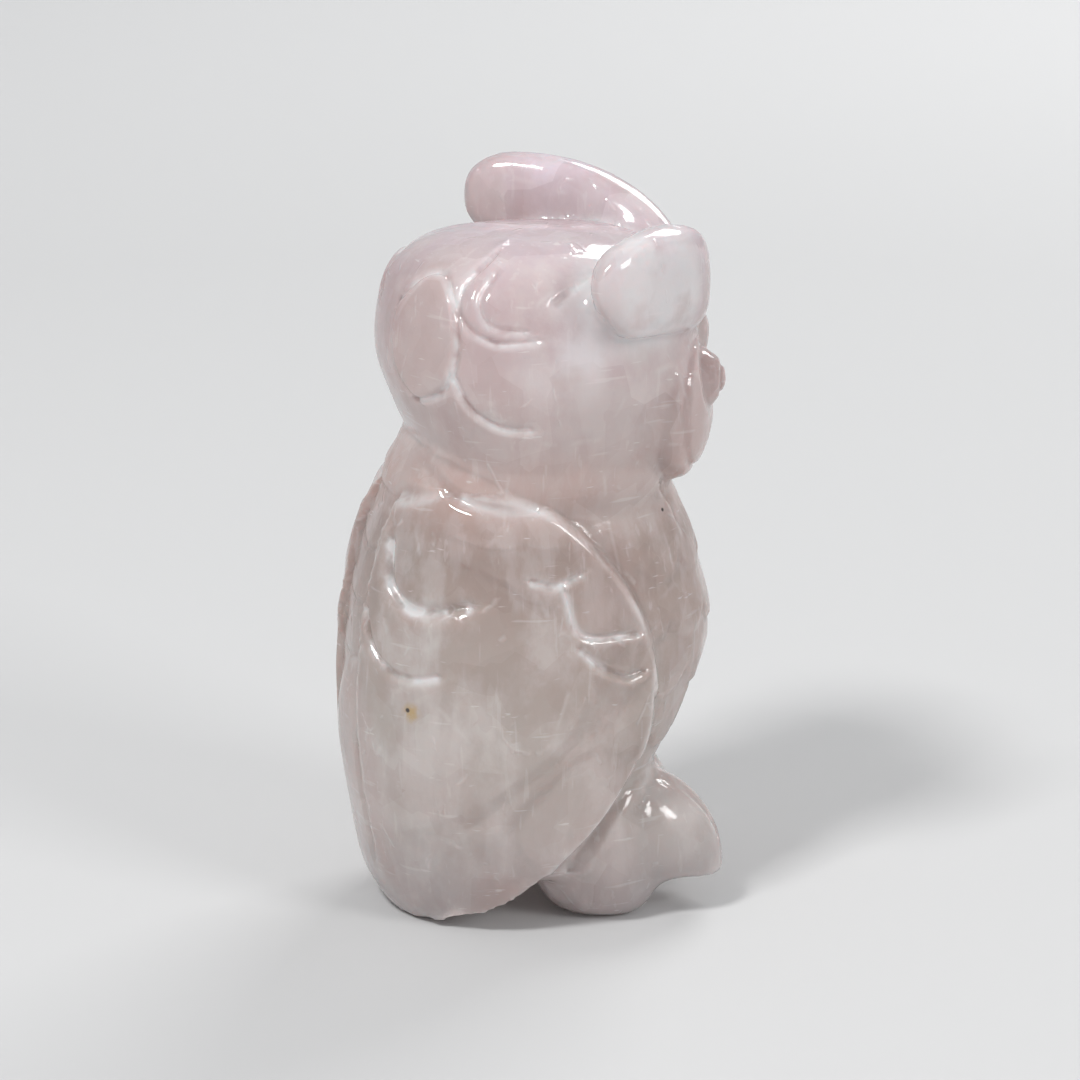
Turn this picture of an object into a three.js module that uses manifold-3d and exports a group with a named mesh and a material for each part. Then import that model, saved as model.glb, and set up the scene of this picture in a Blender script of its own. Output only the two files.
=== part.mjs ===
// Seated owl cut from rose quartz, in millimetres, +Z up.
// The owl looks along -Y and its right side is -X. The origin is on the ground,
// under the middle of the statuette.
import * as THREE from 'three';
import { LoftGeometry } from 'three/addons/geometries/LoftGeometry.js';
import { mergeVertices } from 'three/addons/utils/BufferGeometryUtils.js';
import Module from 'manifold-3d';

const wasm = await Module();
wasm.setup();

// ---------------------------------------------------------------- dimensions

const HEIGHT = 100; // ground to the top of the ear tufts
const SEAM = 0.3; // width of the carved line between two forms
const RELIEF = 2.2; // how far wings and tail stand proud of the trunk
const SQUARENESS = 2.3; // exponent of the rounded cross-sections

const WING_REAR_X = 5.3; // the rear edges of the wings, either side of the back
const TAIL_HALF_WIDTH = 4.9;
const TAIL_TOP = 31;

const EYE_RADIUS = 4.2;
const EYE = new THREE.Vector3( 9.6, - 20.4, 74 );
const DISC = new THREE.Vector3( 10.2, - 18, 70.5 );
const DISC_TURN = 27; // degrees each facial disc is turned outward
const DISC_HALF_WIDTH = 9.6;
const DISC_HALF_HEIGHT = 10.8;
const DISC_HALF_DEPTH = 5.4;

const BEAK_ROOT = 18.45; // how far forward of the centre line the beak starts

const HEEL = new THREE.Vector3( 10.8, - 7, 10 );
const HEEL_SIZE = new THREE.Vector3( 9.7, 10, 12.6 );
const TOES = new THREE.Vector3( 10.6, - 15.6, 10 );
const TOES_SIZE = new THREE.Vector3( 9, 8.2, 9.8 );
const TOES_LEAN = 0.36; // how far the toes run forward for each millimetre down
const TOES_SOLE = 5; // the toes stay this far off the ground

// The two tufts are hand cut and differ: where each ends, seen from above, and
// how high it rises.
const TUFTS = {
	left: { end: [ 22.2, 2.6 ], top: HEIGHT },
	right: { end: [ 22.8, - 1.6 ], top: 97.4 }
};

// Cross-sections at named heights: half width to the sides, reach to the back
// and reach to the front, all measured from the upright centre line.
const BODY_SECTIONS = [
	{ z: 0, side: 15.4, back: 20.4, front: 8 },
	{ z: 5, side: 18.4, back: 23.2, front: 10.6 },
	{ z: 14, side: 20.8, back: 25, front: 12.8 },
	{ z: 25, side: 22, back: 26.3, front: 18.8 },
	{ z: 38, side: 22.2, back: 26.1, front: 24.6 },
	{ z: 50, side: 21, back: 24, front: 23 },
	{ z: 59, side: 18.6, back: 20.6, front: 19.8 },
	{ z: 66, side: 15, back: 16, front: 15 }
];
const HEAD_SECTIONS = [
	{ z: 58.5, side: 11.5, back: 10, front: 15.5 },
	{ z: 62, side: 16, back: 15.2, front: 20.2 },
	{ z: 67, side: 18.2, back: 18.4, front: 21.8 },
	{ z: 77, side: 19.8, back: 20.2, front: 22.8 },
	{ z: 86, side: 18.6, back: 19.4, front: 20.8 },
	{ z: 90.8, side: 15.2, back: 16.2, front: 17.6 },
	{ z: 93.1, side: 9, back: 10, front: 11.4 },
	{ z: 93.8, side: 2.4, back: 2.4, front: 3 }
];

// ----------------------------------------------------------------- materials

const STONE = {
	trunk: 0xd9c7cb,
	head: 0xd8b9c1,
	tuft: 0xe3dbdb,
	wing: 0xd6ccd0,
	foot: 0xcdb9c6
};

function stone( colour ) {

	return new THREE.MeshStandardMaterial( { color: colour, roughness: 0.12, metalness: 0 } );

}

// ------------------------------------------------------------ solids helpers

function toSolid( geometry ) {

	geometry.deleteAttribute( 'normal' );
	geometry.deleteAttribute( 'uv' );
	const merged = mergeVertices( geometry, 1e-4 );
	return new wasm.Manifold( new wasm.Mesh( {
		numProp: 3,
		vertProperties: new Float32Array( merged.attributes.position.array ),
		triVerts: new Uint32Array( merged.index.array )
	} ) );

}

function toGeometry( solid ) {

	const mesh = solid.getMesh();
	const geometry = new THREE.BufferGeometry();
	geometry.setAttribute( 'position', new THREE.BufferAttribute( mesh.vertProperties, 3 ) );
	geometry.setIndex( new THREE.BufferAttribute( mesh.triVerts, 1 ) );
	geometry.computeVertexNormals();
	return geometry;

}

function flipped( geometry ) {

	// Mirrors a shape in the plane x = 0 and turns its faces back outward.
	geometry.scale( - 1, 1, 1 );
	const index = geometry.index;
	for ( let i = 0; i < index.count; i += 3 ) {

		const a = index.getX( i );
		index.setX( i, index.getX( i + 1 ) );
		index.setX( i + 1, a );

	}

	return geometry;

}

// A rounded-square ring; its back and front halves have reaches of their own.
function ring( section, rim, steps ) {

	const points = [];
	for ( let i = 0; i < steps; i ++ ) {

		const angle = i / steps * Math.PI * 2;
		const c = Math.cos( angle );
		const s = Math.sin( angle );
		const reach = s > 0 ? section.back : section.front;
		const power = 2 / SQUARENESS;
		points.push( new THREE.Vector3(
			( section.side + rim ) * Math.sign( c ) * Math.abs( c ) ** power,
			( reach + rim ) * Math.sign( s ) * Math.abs( s ) ** power,
			section.z
		) );

	}

	return points;

}

// Skins smooth sections between the named ones; rim makes the form fatter.
function stack( sections, rim, steps, rows ) {

	const reaches = new THREE.CatmullRomCurve3(
		sections.map( ( s ) => new THREE.Vector3( s.side, s.back, s.front ) )
	);
	const heights = new THREE.SplineCurve( sections.map( ( s ) => new THREE.Vector2( s.z, 0 ) ) );
	const rings = [];
	for ( let i = 0; i <= rows; i ++ ) {

		const t = i / rows;
		const reach = reaches.getPoint( t );
		const z = heights.getPoint( t ).x + rim * ( 2 * t - 1 );
		rings.push( ring( { z, side: reach.x, back: reach.y, front: reach.z }, rim, steps ) );

	}

	return new LoftGeometry( rings, { capStart: true, capEnd: true } );

}

function ellipsoid( centre, size, rim, turn = 0, steps = 20 ) {

	const ball = new THREE.SphereGeometry( 1, steps, steps / 2 );
	ball.rotateX( Math.PI / 2 );
	ball.scale( size.x + rim, size.y + rim, size.z + rim );
	ball.rotateZ( THREE.MathUtils.degToRad( turn ) );
	ball.translate( centre.x, centre.y, centre.z );
	return ball;

}

// A block that reaches from the ground up, used to level the resting faces.
function aboveGround( height ) {

	const block = new THREE.BoxGeometry( 4 * HEIGHT, 4 * HEIGHT, height );
	block.translate( 0, 0, height / 2 );
	return toSolid( block );

}

// --------------------------------------------------------------------- trunk

const inset = ( section ) => ( {
	z: Math.max( section.z, 7 ),
	side: section.side - RELIEF,
	back: section.back - RELIEF,
	front: section.front
} );
const TRUNK_SECTIONS = BODY_SECTIONS.slice( 1 ).map( inset );

const trunk = ( rim ) => toSolid( stack( TRUNK_SECTIONS, rim, 32, 14 ) );
const envelope = ( rim ) => toSolid( stack( BODY_SECTIONS, rim, 40, 16 ) );
const skull = ( rim ) => toSolid( stack( HEAD_SECTIONS, rim, 36, 13 ) );

// --------------------------------------------------------------------- wings

// The leaf outline of a folded wing seen from the side: y across, z up.
function leafShape( rim ) {

	const edge = new THREE.SplineCurve( [
		new THREE.Vector2( 14.6, 0 ),
		new THREE.Vector2( 3, 9 ),
		new THREE.Vector2( - 8.6, 22.4 ),
		new THREE.Vector2( - 11.6, 34 ),
		new THREE.Vector2( - 8.4, 47 ),
		new THREE.Vector2( 2, 58.8 ),
		new THREE.Vector2( 13.5, 61.6 ),
		new THREE.Vector2( 26, 56.4 )
	] );
	const points = edge.getPoints( 28 );
	const shape = new THREE.Shape( points.map( ( p ) => new THREE.Vector2( p.x - rim, p.y + rim ) ) );
	shape.lineTo( 40, 56.4 );
	shape.lineTo( 40, - 4 );
	shape.lineTo( 14.6 - rim, - 4 );
	shape.closePath();
	return shape;

}

function wing( rim ) {

	const prism = new THREE.ExtrudeGeometry( leafShape( rim ), {
		depth: 40, bevelEnabled: false, steps: 1
	} );
	prism.applyMatrix4( new THREE.Matrix4().makeBasis(
		new THREE.Vector3( 0, 1, 0 ),
		new THREE.Vector3( 0, 0, 1 ),
		new THREE.Vector3( 1, 0, 0 )
	) );
	prism.translate( WING_REAR_X - rim, 0, 0 );
	return toSolid( prism ).intersect( envelope( rim ) );

}

// ---------------------------------------------------------------------- tail

function tail() {

	const outline = new THREE.Shape();
	const width = TAIL_HALF_WIDTH;
	outline.moveTo( - width, 0 );
	outline.lineTo( width, 0 );
	outline.lineTo( width, TAIL_TOP - width );
	outline.absarc( 0, TAIL_TOP - width, width, 0, Math.PI );
	outline.closePath();
	const slab = new THREE.ExtrudeGeometry( outline, {
		depth: 26, bevelEnabled: false, curveSegments: 12
	} );
	slab.rotateX( Math.PI / 2 );
	slab.translate( 0, 34, 0 );
	return toSolid( slab ).intersect( envelope( 0 ) ).subtract( trunk( SEAM ) );

}

// ----------------------------------------------------------------- ear tufts

// A brow ridge that leaves the bridge of the beak, sweeps round over the eye
// and rises backward to a blunt ear tuft.
function tuft( rim, { end: tip, top } ) {

	const path = new THREE.QuadraticBezierCurve( ...[
		[ 1.9, - 20.4 ],
		[ 15.4, - 19.6 ],
		tip
	].map( ( p ) => new THREE.Vector2( ...p ) ) );
	const sections = [];
	const rows = 12;
	for ( let i = 0; i <= rows; i ++ ) {

		const t = i / rows;
		const taper = Math.sin( Math.PI * ( 0.12 + 0.8 * t ) ) ** 0.5;
		const rise = Math.sin( Math.PI * 0.59 * t );
		const half = 3.9 * taper + rim;
		const low = THREE.MathUtils.lerp( 80, top - 13, t ) - rim;
		const high = THREE.MathUtils.lerp( 90.4, top, rise ) + rim;
		const along = path.getTangent( t );
		const centre = path.getPoint( t ).addScaledVector( along, rim * ( 2 * t - 1 ) );
		const corners = [];
		const steps = 14;
		for ( let j = 0; j < steps; j ++ ) {

			const angle = j / steps * Math.PI * 2;
			const c = Math.cos( angle );
			const s = Math.sin( angle );
			const across = half * Math.sign( c ) * Math.abs( c ) ** 0.6;
			const up = Math.sign( s ) * Math.abs( s ) ** 0.7;
			corners.push( new THREE.Vector3(
				centre.x + along.y * across,
				centre.y - along.x * across,
				THREE.MathUtils.lerp( low, high, ( up + 1 ) / 2 )
			) );

		}

		sections.push( corners.reverse() );

	}

	return toSolid( new LoftGeometry( sections, { capStart: true, capEnd: true } ) );

}

// ---------------------------------------------------------------------- face

const disc = ( rim ) => toSolid( ellipsoid(
	DISC,
	new THREE.Vector3( DISC_HALF_WIDTH, DISC_HALF_DEPTH, DISC_HALF_HEIGHT ),
	rim,
	DISC_TURN,
	22
) );

const eye = ( rim ) => toSolid( ellipsoid(
	EYE,
	new THREE.Vector3( EYE_RADIUS, EYE_RADIUS, EYE_RADIUS ),
	rim,
	DISC_TURN,
	16
) );

// The beak is a hooked wedge: it swells forward from the brow, then narrows to
// a blunt tip.
function beak( rim ) {

	const sections = [];
	const rows = 10;
	for ( let i = 0; i <= rows; i ++ ) {

		const t = i / rows;
		const z = THREE.MathUtils.lerp( 63.4, 81, t );
		const width = Math.sin( Math.PI * ( 0.04 + 0.72 * t ) ) ** 0.8;
		const hook = Math.sin( Math.PI * ( 0.12 + 0.72 * t ) );
		const section = {
			z: z + rim * ( 2 * t - 1 ),
			side: 0.6 + 3.2 * width,
			back: 1,
			front: 2.4 + 5.55 * hook
		};
		const points = ring( section, rim, 16 );
		points.forEach( ( p ) => p.setY( p.y - BEAK_ROOT ) );
		sections.push( points );

	}

	return toSolid( new LoftGeometry( sections, { capStart: true, capEnd: true } ) );

}

// ---------------------------------------------------------------------- feet

const heel = ( rim ) => toSolid( ellipsoid( HEEL, HEEL_SIZE, rim ) ).intersect( aboveGround( 60 ) );

// The toes lean out toward the ground and are cut level just above it.
function toes( rim ) {

	const lobe = ellipsoid( new THREE.Vector3(), TOES_SIZE, rim );
	lobe.applyMatrix4( new THREE.Matrix4().makeShear( 0, 0, 0, 0, 0, TOES_LEAN ) );
	lobe.translate( TOES.x, TOES.y, TOES.z );
	const above = aboveGround( 60 ).translate( [ 0, 0, TOES_SOLE - rim ] );
	return toSolid( lobe ).intersect( above );

}

// ------------------------------------------------------------------ assembly

const mirror = ( solid ) => toSolid( flipped( toGeometry( solid ) ) );
const both = ( solid ) => solid.add( mirror( solid ) );

const heels = both( heel( SEAM ) );
const brows = tuft( SEAM, TUFTS.left ).add( mirror( tuft( SEAM, TUFTS.right ) ) );
const discs = both( disc( SEAM ) );
const eyes = both( eye( SEAM ) );

const body = trunk( 0 ).subtract( skull( SEAM ) ).subtract( heels ).subtract( discs );
const head = skull( 0 ).subtract( brows ).subtract( discs ).subtract( eyes ).subtract( beak( SEAM ) );

const sided = {
	wing: wing( 0 ).subtract( trunk( SEAM ) ).subtract( skull( SEAM ) ).subtract( heels ),
	face_disc: disc( 0 ).subtract( both( brows ) ).subtract( eyes ).subtract( beak( SEAM ) ),
	eye: eye( 0 ).subtract( both( brows ) ),
	heel: heel( 0 ),
	toes: toes( 0 ).subtract( heels ).subtract( trunk( SEAM ) ).subtract( wing( SEAM ) )
};
const shades = {
	wing: STONE.wing,
	face_disc: STONE.head,
	eye: STONE.head,
	heel: STONE.foot,
	toes: STONE.foot
};

const owl = new THREE.Group();

function place( name, geometry, colour ) {

	const mesh = new THREE.Mesh( geometry, stone( colour ) );
	mesh.name = name;
	owl.add( mesh );

}

place( 'trunk', toGeometry( body ), STONE.trunk );
place( 'head', toGeometry( head ), STONE.head );
place( 'beak', toGeometry( beak( 0 ).subtract( brows ) ), STONE.head );
place( 'tail', toGeometry( tail() ), STONE.wing );
place( 'ear_tuft_left', toGeometry( tuft( 0, TUFTS.left ) ), STONE.tuft );
place( 'ear_tuft_right', flipped( toGeometry( tuft( 0, TUFTS.right ) ) ), STONE.tuft );
for ( const [ name, solid ] of Object.entries( sided ) ) {

	place( `${ name }_left`, toGeometry( solid ), shades[ name ] );
	place( `${ name }_right`, flipped( toGeometry( solid ) ), shades[ name ] );

}

export default owl;
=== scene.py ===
# %% [markdown]
# # A seated owl cut from rose quartz
# The real owl is a single stone that was sawn, ground into lobes, scored with small wheels and
# polished. The steps here follow the carver: rough the lobes out, grind them into one body, cut
# the feather lines, polish, and then look at the stone itself, its veils, clouds and stain.

# %% Load the solid model that fixes place and size
import math

import bpy
import numpy as np
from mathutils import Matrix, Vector


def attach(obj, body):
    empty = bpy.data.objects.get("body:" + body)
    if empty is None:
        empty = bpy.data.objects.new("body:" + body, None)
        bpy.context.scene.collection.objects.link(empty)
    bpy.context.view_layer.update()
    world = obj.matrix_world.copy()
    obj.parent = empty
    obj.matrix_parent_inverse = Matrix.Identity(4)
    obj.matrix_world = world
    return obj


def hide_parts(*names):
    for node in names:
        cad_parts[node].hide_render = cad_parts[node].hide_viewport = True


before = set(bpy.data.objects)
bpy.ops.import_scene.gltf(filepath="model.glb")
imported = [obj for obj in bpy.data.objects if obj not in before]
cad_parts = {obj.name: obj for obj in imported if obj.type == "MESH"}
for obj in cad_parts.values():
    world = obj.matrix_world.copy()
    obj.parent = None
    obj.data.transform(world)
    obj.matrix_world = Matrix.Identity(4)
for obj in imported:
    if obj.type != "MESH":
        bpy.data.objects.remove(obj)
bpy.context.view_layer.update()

# %% [markdown]
# ## Measures
# All forms are worked out in millimetres, as a carver measures, and turned into metres when a
# mesh is written. A form is described by its cross-sections: how far the stone reaches to the
# side, to the back and to the front at a few heights.

# %% Sizes of the owl
MM = 0.001
HEIGHT = 100.0
RELIEF = 2.2  # how far wings and tail stand proud of the trunk
SQUARENESS = 2.3  # 2 is an ellipse, more is squarer
GRAIN = 0.785  # voxel size

BODY = {
    "z": [0, 5, 14, 25, 38, 50, 59, 66],
    "side": [15.4, 18.4, 20.8, 22, 22.2, 21, 18.6, 15],
    "back": [20.4, 23.2, 25, 26.3, 26.1, 24, 20.8, 17.2],
    "front": [8, 10.6, 12.8, 18.8, 24.3, 22.5, 19.3, 15],
}
HEAD = {
    "z": [58.5, 62, 67, 77, 86, 90.8, 93.1, 93.8],
    "side": [11.5, 16, 18.2, 19.8, 18.6, 15.2, 9, 2.4],
    "back": [8, 13, 16.4, 20.2, 19.4, 16.2, 10, 2.4],
    "front": [15.5, 20.2, 21.8, 22.8, 20.8, 17.6, 11.4, 3],
}
NECK = {
    "z": [54, 60, 65, 70],
    "side": [15, 17.2, 17.7, 17],
    "back": [13, 15, 15.4, 15],
    "front": [17, 18.4, 18.2, 17],
}
LEAF = [  # front edge of a wing, as (y, z)
    (14.6, 0), (3, 9), (-8.6, 22.4), (-11.6, 34), (-8.4, 47), (2, 58.8), (13.5, 61.6), (26, 56.4),
]
WING_REAR = 5.1  # half the gap between the wings behind
print("owl:", HEIGHT, "mm tall, relief", RELIEF, "mm, voxels", GRAIN, "mm")

# %% [markdown]
# ## Small tools
# Real stone has no straight profiles and no sudden steps. Two helpers keep it that way: a smooth
# curve through a few values, and a soft step between two values. A third squares round forms off.

# %% Curves and steps
def through(values, t):
    """Smooth curve through the values, one per whole step of t (Catmull-Rom: each span leaves and
    arrives along the line between its two neighbours)."""
    v = np.asarray(values, float)
    if v.ndim == 1:
        v = v[:, None]
    padded = np.vstack([2 * v[0] - v[1], v, 2 * v[-1] - v[-2]])
    x = np.clip(np.asarray(t, float) * (len(v) - 1), 0, len(v) - 1 - 1e-9)
    i = x.astype(int)
    f = (x - i)[..., None]
    a, b, c, d = (padded[i + k] for k in range(4))
    bend, twist = 2 * a - 5 * b + 4 * c - d, 3 * b - a - 3 * c + d
    out = 0.5 * (2 * b + (c - a) * f + bend * f**2 + twist * f**3)
    return out[..., 0] if out.shape[-1] == 1 else out


def soft_step(low, high, x):
    """0 below low, 1 above high, and an S-shaped climb between them."""
    t = np.clip((x - low) / (high - low), 0, 1)
    return t * t * (3 - 2 * t)


def powered(x, power):
    """|x| to the power, with the sign of x kept."""
    return np.sign(x) * np.abs(x) ** power


print("a soft step half way up:", float(soft_step(0, 1, 0.5)))

# %% [markdown]
# A mesh is a list of points and a list of faces that name them. A form is worked out as a grid,
# one row per ring, so its faces follow from the grid alone and always point outward.


# %% Grid of points to closed shell
def shell(grid):
    """Faces for rows of rings: neighbours in a row and in the next row make a square, and one
    point at each end closes the form like the pole of a globe."""
    rows, cols = grid.shape[:2]
    index = np.arange(rows * cols).reshape(rows, cols)
    right = np.roll(index, -1, axis=1)
    squares = np.stack([index[:-1], right[:-1], right[1:], index[1:]], axis=-1).reshape(-1, 4)
    points = np.vstack([grid.reshape(-1, 3), grid[0].mean(0), grid[-1].mean(0)])
    low, high = rows * cols, rows * cols + 1
    bottom = np.stack([right[0], index[0], np.full(cols, low), np.full(cols, low)], axis=-1)
    top = np.stack([index[-1], right[-1], np.full(cols, high), np.full(cols, high)], axis=-1)
    return points, np.vstack([squares, bottom, top])


def mesh_from(name, shells):
    """One mesh from several closed shells."""
    points, faces, start = [], [], 0
    for p, f in shells:
        points.append(p)
        faces.append(f + start)
        start += len(p)
    faces = [list(dict.fromkeys(face)) for face in np.vstack(faces).tolist()]  # caps are triangles
    mesh = bpy.data.meshes.new(name)
    mesh.from_pydata((np.vstack(points) * MM).tolist(), [], faces)
    mesh.update()
    return mesh


print("faces on a shell of 4 rings of 6 points:", len(shell(np.zeros((4, 6, 3)))[1]))

# %% [markdown]
# ## Lobes
# The trunk, neck and head are stacks of rounded squares: a wheel held by hand leaves neither true
# circles nor flat sides. The lobes run deep into each other, because they will be ground into one
# stone. The trunk's lower front is cut to a slanting skirt, behind which the feet stand.

# %% Stacked forms: trunk and head
def reach(profile, z):
    """Side, back and front reach of a stacked form at the heights z."""
    steps = np.linspace(0, 1, 400)
    t = np.interp(z, through(profile["z"], steps), steps)
    return tuple(through(profile[key], t) for key in ("side", "back", "front"))


def stacked(profile, z, around=220, shrink=0.0):
    """Ring at each height z: x = side times the powered cosine, y = back or front times the
    powered sine, so a power below 1 squares the circle off."""
    side, back, front = (r[:, None] for r in reach(profile, z))
    angle = np.linspace(0, 2 * math.pi, around, endpoint=False)[None, :]
    power = 2 / SQUARENESS
    x = (side - shrink) * powered(np.cos(angle), power)
    far = np.where(np.sin(angle) > 0, back - shrink, front)
    y = far * powered(np.sin(angle), power)
    return np.stack([x, y, np.broadcast_to(z[:, None], x.shape)], axis=-1)


SKIRT_Z = [0, 0.6, 1.5, 3, 6, 8.4, 8.8]
SKIRT_Y = [19, 15.8, 13.4, 10.8, 6.6, 3.6, -60]  # at -60 it cuts nothing
body_grid = stacked(BODY, np.linspace(0, 66, 160))
body_grid[..., 1] = np.maximum(body_grid[..., 1], np.interp(body_grid[..., 2], SKIRT_Z, SKIRT_Y))
core_grid = stacked(BODY, np.linspace(7, 40, 60), shrink=RELIEF)
neck_grid = stacked(NECK, np.linspace(54, 70, 50))
head_grid = stacked(HEAD, through(HEAD["z"], np.linspace(0, 1, 110)))
print("rings of trunk and head:", len(body_grid), len(head_grid))

# %% [markdown]
# Face discs, eyes, heels and toes are round in every direction, so each is an ellipsoid. The toes
# lean forward toward the ground and end in a level sole.


# %% Ellipsoids: discs, eyes, heels and toes
def ellipsoid(centre, size, turn=0.0, rows=60, cols=90):
    """A globe stretched to size, turned about the upright by turn degrees."""
    v = np.linspace(-math.pi / 2, math.pi / 2, rows + 2)[1:-1, None]
    u = np.linspace(0, 2 * math.pi, cols, endpoint=False)[None, :]
    x = size[0] * np.cos(v) * np.cos(u)
    y = size[1] * np.cos(v) * np.sin(u)
    z = size[2] * np.sin(v) + 0 * u
    a = math.radians(turn)
    return np.stack([
        centre[0] + x * math.cos(a) - y * math.sin(a),
        centre[1] + x * math.sin(a) + y * math.cos(a),
        centre[2] + z,
    ], axis=-1)


DISC, DISC_SIZE, DISC_TURN = (9.8, -17.8, 71), (8.8, 4.9, 10.4), 30
EYE, EYE_SIZE = (9.6, -20.4, 74), (4.2, 4.2, 4.2)
HEEL, HEEL_SIZE = (10.3, -7, 10), (9.3, 10, 12.6)
TOES, TOES_SIZE = (10.6, -15.6, 10), (9, 8.2, 9.8)
TOES_LEAN, TOES_SOLE = 0.36, 5


def toe_lobe():
    """An ellipsoid that leans out toward the ground and is levelled underneath."""
    lobe = ellipsoid((0, 0, 0), TOES_SIZE)
    lobe[..., 1] += TOES_LEAN * lobe[..., 2]
    lobe += TOES
    lobe[..., 2] = np.maximum(lobe[..., 2], TOES_SOLE)
    return lobe


heel_lobe = np.clip(ellipsoid(HEEL, HEEL_SIZE), [-99, -99, 0], 99)  # nothing below the ground
one_side = [ellipsoid(DISC, DISC_SIZE, DISC_TURN), ellipsoid(EYE, EYE_SIZE), heel_lobe, toe_lobe()]
print("round lobes on each side:", len(one_side))

# %% [markdown]
# A brow and the ear tuft behind it are one ridge, which starts at the bridge of the beak and
# swings out over the eye. It is a rounded block carried along a curve. The two differ: the left
# one rises higher and ends further back.


# %% Swept form: brow tuft
def tuft(tip, top, swell, rows=90, cols=72):
    """A rounded block carried along a curve in plan, rising as a sine over swell half-waves."""
    t = np.linspace(0, 1, rows)[:, None]
    a, b, c = (np.array(p) for p in ((1.9, -20.4), (15.4, -19.6), tip))
    centre = (1 - t) ** 2 * a + 2 * t * (1 - t) * b + t**2 * c
    along = 2 * (1 - t) * (b - a) + 2 * t * (c - b)
    along /= np.linalg.norm(along, axis=1, keepdims=True)
    past = ((t - 0.89) / 0.11).clip(0, 0.99)
    nose = (1 - past**3) ** (1 / 3)
    end = np.sin(math.pi * (0.12 + 0.8 * t)) ** 0.5 * nose
    low = 80 + (top - 93) * t + 3.0 * soft_step(0.8, 1, t) ** 2
    high = 90.4 + (top - 90.4) * np.sin(math.pi * swell * t) - 1.2 * soft_step(0.8, 1, t) ** 2
    middle, half = (low + high) / 2, (high - low) / 2 * nose
    angle = np.linspace(0, 2 * math.pi, cols, endpoint=False)[None, :]
    across = -4.1 * end * powered(np.cos(angle), np.where(np.cos(angle) < 0, 0.58, 0.85))
    up = powered(np.sin(angle), 0.78)
    x = centre[:, :1] + along[:, 1:] * across
    y = centre[:, 1:] - along[:, :1] * across
    return np.stack([x, y, middle + half * up], axis=-1)


def mirrored(grid):
    """The same form on the owl's other side, with its rings turned back to face outward."""
    return (grid * [-1, 1, 1])[:, ::-1]


tufts = [tuft((22.2, 2.6), HEIGHT, 0.59), mirrored(tuft((22.8, -1.6), 96.6, 0.78))]
print("tops of left and right tuft in mm:", [round(float(t[..., 2].max()), 1) for t in tufts])

# %% [markdown]
# The beak is a small stack of its own: a knob below, a notch, and above it the bridge from which
# both brows start. With it all the lobes are there.


# %% Beak, and the list of all lobes
BEAK = {
    "z": [64.2, 65.4, 67.4, 70.2, 72.6, 73.9, 76, 79.4, 82.4, 84.2],
    "side": [0.8, 2.0, 3.0, 3.6, 3.4, 3.2, 4.2, 5.0, 4.4, 2.4],
    "front": [1.2, 4.2, 6.6, 7.95, 7.3, 6.5, 6.8, 6.9, 5.4, 2.4],
}
BEAK_ROOT = -18.45


def beak(rows=70, cols=48):
    """A stack of rings like trunk and head, but shallow behind, where it sits in the face."""
    t = np.linspace(0, 1, rows)
    z, side, front = (through(BEAK[key], t)[:, None] for key in ("z", "side", "front"))
    angle = np.linspace(0, 2 * math.pi, cols, endpoint=False)[None, :]
    power = 2 / SQUARENESS
    x = side * powered(np.cos(angle), power)
    y = np.where(np.sin(angle) > 0, 3, front) * powered(np.sin(angle), power) + BEAK_ROOT
    return np.stack([x, y, z + 0 * x], axis=-1)


lobes = [body_grid, core_grid, neck_grid, head_grid, beak()] + tufts
lobes += one_side + [mirrored(grid) for grid in one_side]
print("lobes roughed out:", len(lobes))

# %% [markdown]
# ## Grinding the lobes into one stone
# A boolean union would leave needle-thin faces along every crossing. A voxel remesh fills the
# lobes with one even skin instead, as a grinding wheel blends them, and the light that soaks into
# the stone can then travel from head to trunk without meeting a wall.


# %% Join the lobes with an even skin
def into_one(name, grids, grain):
    """Fills the overlapping shells with voxels of the given size and skins the result."""
    rough = bpy.data.objects.new(name + "_rough", mesh_from(name, [shell(g) for g in grids]))
    bpy.context.scene.collection.objects.link(rough)
    skin = rough.modifiers.new("skin", "REMESH")
    skin.mode = "VOXEL"
    skin.voxel_size = grain * MM
    skin.use_smooth_shade = True
    ready = rough.evaluated_get(bpy.context.evaluated_depsgraph_get())
    mesh = bpy.data.meshes.new_from_object(ready)
    bpy.data.objects.remove(rough)
    piece = bpy.data.objects.new(name, mesh)
    bpy.context.scene.collection.objects.link(piece)
    return piece


owl = into_one("owl_stone", lobes, GRAIN)
print("even skin:", len(owl.data.vertices), "points")


# %% [markdown]
# Voxels leave fine steps. Relaxing takes them out: every point moves toward the middle of its
# neighbours, then nearly as far back, so the steps go and the stone keeps its volume. Reading and
# writing all points at once with foreach_get and foreach_set keeps this quick.


# %% Read, write and relax points
def points_of(piece):
    """Points in millimetres."""
    flat = np.empty(len(piece.data.vertices) * 3, np.float32)
    piece.data.vertices.foreach_get("co", flat)
    return flat.reshape(-1, 3).astype(float) / MM


def put_points(piece, points):
    piece.data.vertices.foreach_set("co", (points * MM).astype(np.float32).ravel())
    piece.data.update()


def normals_of(piece):
    flat = np.empty(len(piece.data.vertices) * 3, np.float32)
    piece.data.vertices.foreach_get("normal", flat)
    return flat.reshape(-1, 3).astype(float)


def edges_of(piece):
    flat = np.empty(len(piece.data.edges) * 2, np.int32)
    piece.data.edges.foreach_get("vertices", flat)
    return flat.reshape(-1, 2)


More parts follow.
